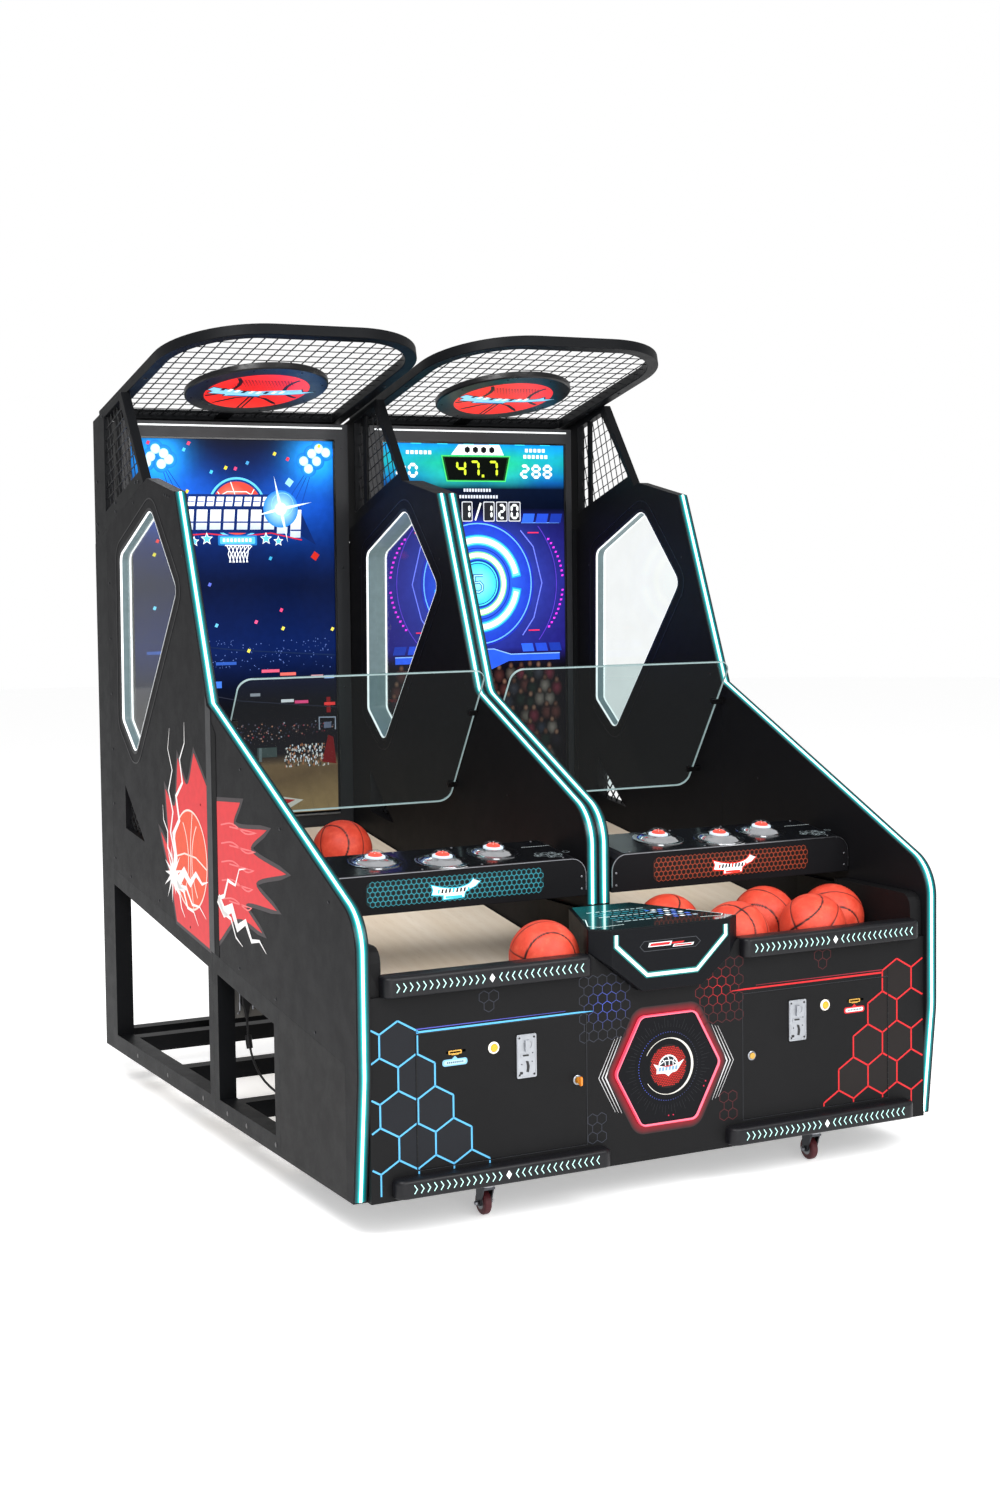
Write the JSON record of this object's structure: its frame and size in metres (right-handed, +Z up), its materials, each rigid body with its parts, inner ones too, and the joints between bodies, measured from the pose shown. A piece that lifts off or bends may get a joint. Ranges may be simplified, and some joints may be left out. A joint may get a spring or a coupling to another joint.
{
  "type": "basketball arcade machine",
  "caption": "Linked basketball arcade game with upright target screens, sloping ball ramps, push-button boxes, wire canopies and coin doors.",
  "frame": {"origin": "on the floor under the centre of the bounding box", "axes": "+Z up, +X to the player's right, -Y towards the player"},
  "size_m": [2.1, 2.495, 2.8146],
  "materials": {
    "panel": "black laminate, satin",
    "frame": "black powder coat, satin",
    "wire_mesh": "black powder coat, satin",
    "acrylic": "clear, polished",
    "screen": "lit display behind glass",
    "ramp_board": "pale maple, satin",
    "ledge": "dark grey, satin",
    "sign": "black with a red print",
    "moulding": "black, satin",
    "dome": "clear dome over red, gloss",
    "coin_plate": "brushed",
    "lock_brass": "polished",
    "yellow_cap": "gloss",
    "caster_metal": "black zinc, satin",
    "caster_wheel": "maroon, satin",
    "ball_rubber": "orange pebbled rubber with black seams",
    "cable": "black, satin",
    "bezel_chrome": "polished",
    "light_strip": "lit diffuser"
  },
  "bodies": {
    "root": {"left_side_panel_front": "panel", "left_side_panel_rear": "panel", "left_window": "acrylic", "left_side_guard": "wire_mesh", "left_canopy": "wire_mesh", "left_canopy_sign": "sign", "left_display_housing": "panel", "left_screen": "screen", "left_ramp": "ramp_board", "left_control_box": "panel", "left_tray_ledge": "ledge", "left_foot_ledge": "ledge", "left_shield": "acrylic", "right_side_panel_front": "panel", "right_side_panel_rear": "panel", "right_window": "acrylic", "right_side_guard": "wire_mesh", "right_canopy": "wire_mesh", "right_canopy_sign": "sign", "right_display_housing": "panel", "right_screen": "screen", "right_ramp": "ramp_board", "right_control_box": "panel", "right_tray_ledge": "ledge", "right_foot_ledge": "ledge", "right_shield": "acrylic", "centre_wall": "panel", "centre_window": "acrylic", "centre_guard": "wire_mesh", "front_cabinet": "panel", "centre_console": "moulding", "frame_rear": "frame", "frame_front": "frame", "signal_cable": "cable", "signal_plug": "cable"},
    "left_bay_left_button": {"left_bay_left_button": "dome"},
    "left_bay_middle_button": {"left_bay_middle_button": "dome"},
    "left_bay_right_button": {"left_bay_right_button": "dome"},
    "left_coin_door": {"left_coin_door": "panel", "left_coin_mech": "coin_plate"},
    "left_door_lock": {"left_door_lock": "lock_brass"},
    "left_service_button": {"left_service_button": "yellow_cap"},
    "left_caster_fork": {"left_caster_fork": "caster_metal"},
    "left_caster_wheel": {"left_caster_wheel": "caster_wheel"},
    "right_bay_left_button": {"right_bay_left_button": "dome"},
    "right_bay_middle_button": {"right_bay_middle_button": "dome"},
    "right_bay_right_button": {"right_bay_right_button": "dome"},
    "right_coin_door": {"right_coin_door": "panel", "right_coin_mech": "coin_plate"},
    "right_door_lock": {"right_door_lock": "lock_brass"},
    "right_service_button": {"right_service_button": "yellow_cap"},
    "right_caster_fork": {"right_caster_fork": "caster_metal"},
    "right_caster_wheel": {"right_caster_wheel": "caster_wheel"},
    "ball_left_tray": {"ball_left_tray": "ball_rubber"},
    "ball_left_ramp": {"ball_left_ramp": "ball_rubber"},
    "ball_right_1": {"ball_right_1": "ball_rubber"},
    "ball_right_2": {"ball_right_2": "ball_rubber"},
    "ball_right_3": {"ball_right_3": "ball_rubber"},
    "ball_right_4": {"ball_right_4": "ball_rubber"},
    "ball_right_5": {"ball_right_5": "ball_rubber"}
  },
  "joints": [
    {"name": "left_bay_left_button_press", "type": "slide", "parent": "root", "child": "left_bay_left_button", "axis": [0, 0.125, -0.9922], "range_m": [0, 0.004], "stiffness_N_per_m": 600, "springref_m": -0.003},
    {"name": "left_bay_middle_button_press", "type": "slide", "parent": "root", "child": "left_bay_middle_button", "axis": [0, 0.125, -0.9922], "range_m": [0, 0.004], "stiffness_N_per_m": 600, "springref_m": -0.003},
    {"name": "left_bay_right_button_press", "type": "slide", "parent": "root", "child": "left_bay_right_button", "axis": [0, 0.125, -0.9922], "range_m": [0, 0.004], "stiffness_N_per_m": 600, "springref_m": -0.003},
    {"name": "left_coin_door_hinge", "type": "hinge", "parent": "root", "child": "left_coin_door", "pos_m": [-0.857, -1.203, 0.391], "axis": [0, 0, -1], "range_deg": [0, 105]},
    {"name": "left_door_lock_turn", "type": "hinge", "parent": "left_coin_door", "child": "left_door_lock", "pos_m": [-0.318, -1.1925, 0.393], "axis": [0, 1, 0], "range_deg": [-90, 0]},
    {"name": "left_service_button_press", "type": "slide", "parent": "left_coin_door", "child": "left_service_button", "axis": [0, 1, 0], "range_m": [0, 0.003], "stiffness_N_per_m": 500, "springref_m": -0.002},
    {"name": "left_caster_swivel", "type": "hinge", "parent": "root", "child": "left_caster_fork", "pos_m": [-0.6, -1.1405, 0.1], "axis": [0, 0, 1], "continuous": true},
    {"name": "left_caster_spin", "type": "hinge", "parent": "left_caster_fork", "child": "left_caster_wheel", "pos_m": [-0.6, -1.1185, 0.0375], "axis": [1, 0, 0], "continuous": true},
    {"name": "right_bay_left_button_press", "type": "slide", "parent": "root", "child": "right_bay_left_button", "axis": [0, 0.125, -0.9922], "range_m": [0, 0.004], "stiffness_N_per_m": 600, "springref_m": -0.003},
    {"name": "right_bay_middle_button_press", "type": "slide", "parent": "root", "child": "right_bay_middle_button", "axis": [0, 0.125, -0.9922], "range_m": [0, 0.004], "stiffness_N_per_m": 600, "springref_m": -0.003},
    {"name": "right_bay_right_button_press", "type": "slide", "parent": "root", "child": "right_bay_right_button", "axis": [0, 0.125, -0.9922], "range_m": [0, 0.004], "stiffness_N_per_m": 600, "springref_m": -0.003},
    {"name": "right_coin_door_hinge", "type": "hinge", "parent": "root", "child": "right_coin_door", "pos_m": [0.857, -1.203, 0.391], "axis": [0, 0, 1], "range_deg": [0, 105]},
    {"name": "right_door_lock_turn", "type": "hinge", "parent": "right_coin_door", "child": "right_door_lock", "pos_m": [0.318, -1.1925, 0.393], "axis": [0, 1, 0], "range_deg": [0, 90]},
    {"name": "right_service_button_press", "type": "slide", "parent": "right_coin_door", "child": "right_service_button", "axis": [0, 1, 0], "range_m": [0, 0.003], "stiffness_N_per_m": 500, "springref_m": -0.002},
    {"name": "right_caster_swivel", "type": "hinge", "parent": "root", "child": "right_caster_fork", "pos_m": [0.6, -1.1405, 0.1], "axis": [0, 0, 1], "continuous": true},
    {"name": "right_caster_spin", "type": "hinge", "parent": "right_caster_fork", "child": "right_caster_wheel", "pos_m": [0.6, -1.1185, 0.0375], "axis": [1, 0, 0], "continuous": true},
    {"name": "ball_left_tray_lift", "type": "slide", "parent": "root", "child": "ball_left_tray", "axis": [0, 0, 1], "range_m": [0, 0.45]},
    {"name": "ball_left_ramp_roll", "type": "slide", "parent": "root", "child": "ball_left_ramp", "axis": [0, 0.9889, 0.1483], "range_m": [0, 0.55]},
    {"name": "ball_right_1_roll", "type": "slide", "parent": "root", "child": "ball_right_1", "axis": [1, 0, 0], "range_m": [0, 0.06]},
    {"name": "ball_right_2_lift", "type": "slide", "parent": "root", "child": "ball_right_2", "axis": [0, 0, 1], "range_m": [0, 0.45]},
    {"name": "ball_right_3_roll", "type": "slide", "parent": "root", "child": "ball_right_3", "axis": [-1, 0, 0], "range_m": [0, 0.08]},
    {"name": "ball_right_4_lift", "type": "slide", "parent": "root", "child": "ball_right_4", "axis": [0, 0, 1], "range_m": [0, 0.45]},
    {"name": "ball_right_5_lift", "type": "slide", "parent": "root", "child": "ball_right_5", "axis": [0, 0, 1], "range_m": [0, 0.45]}
  ]
}
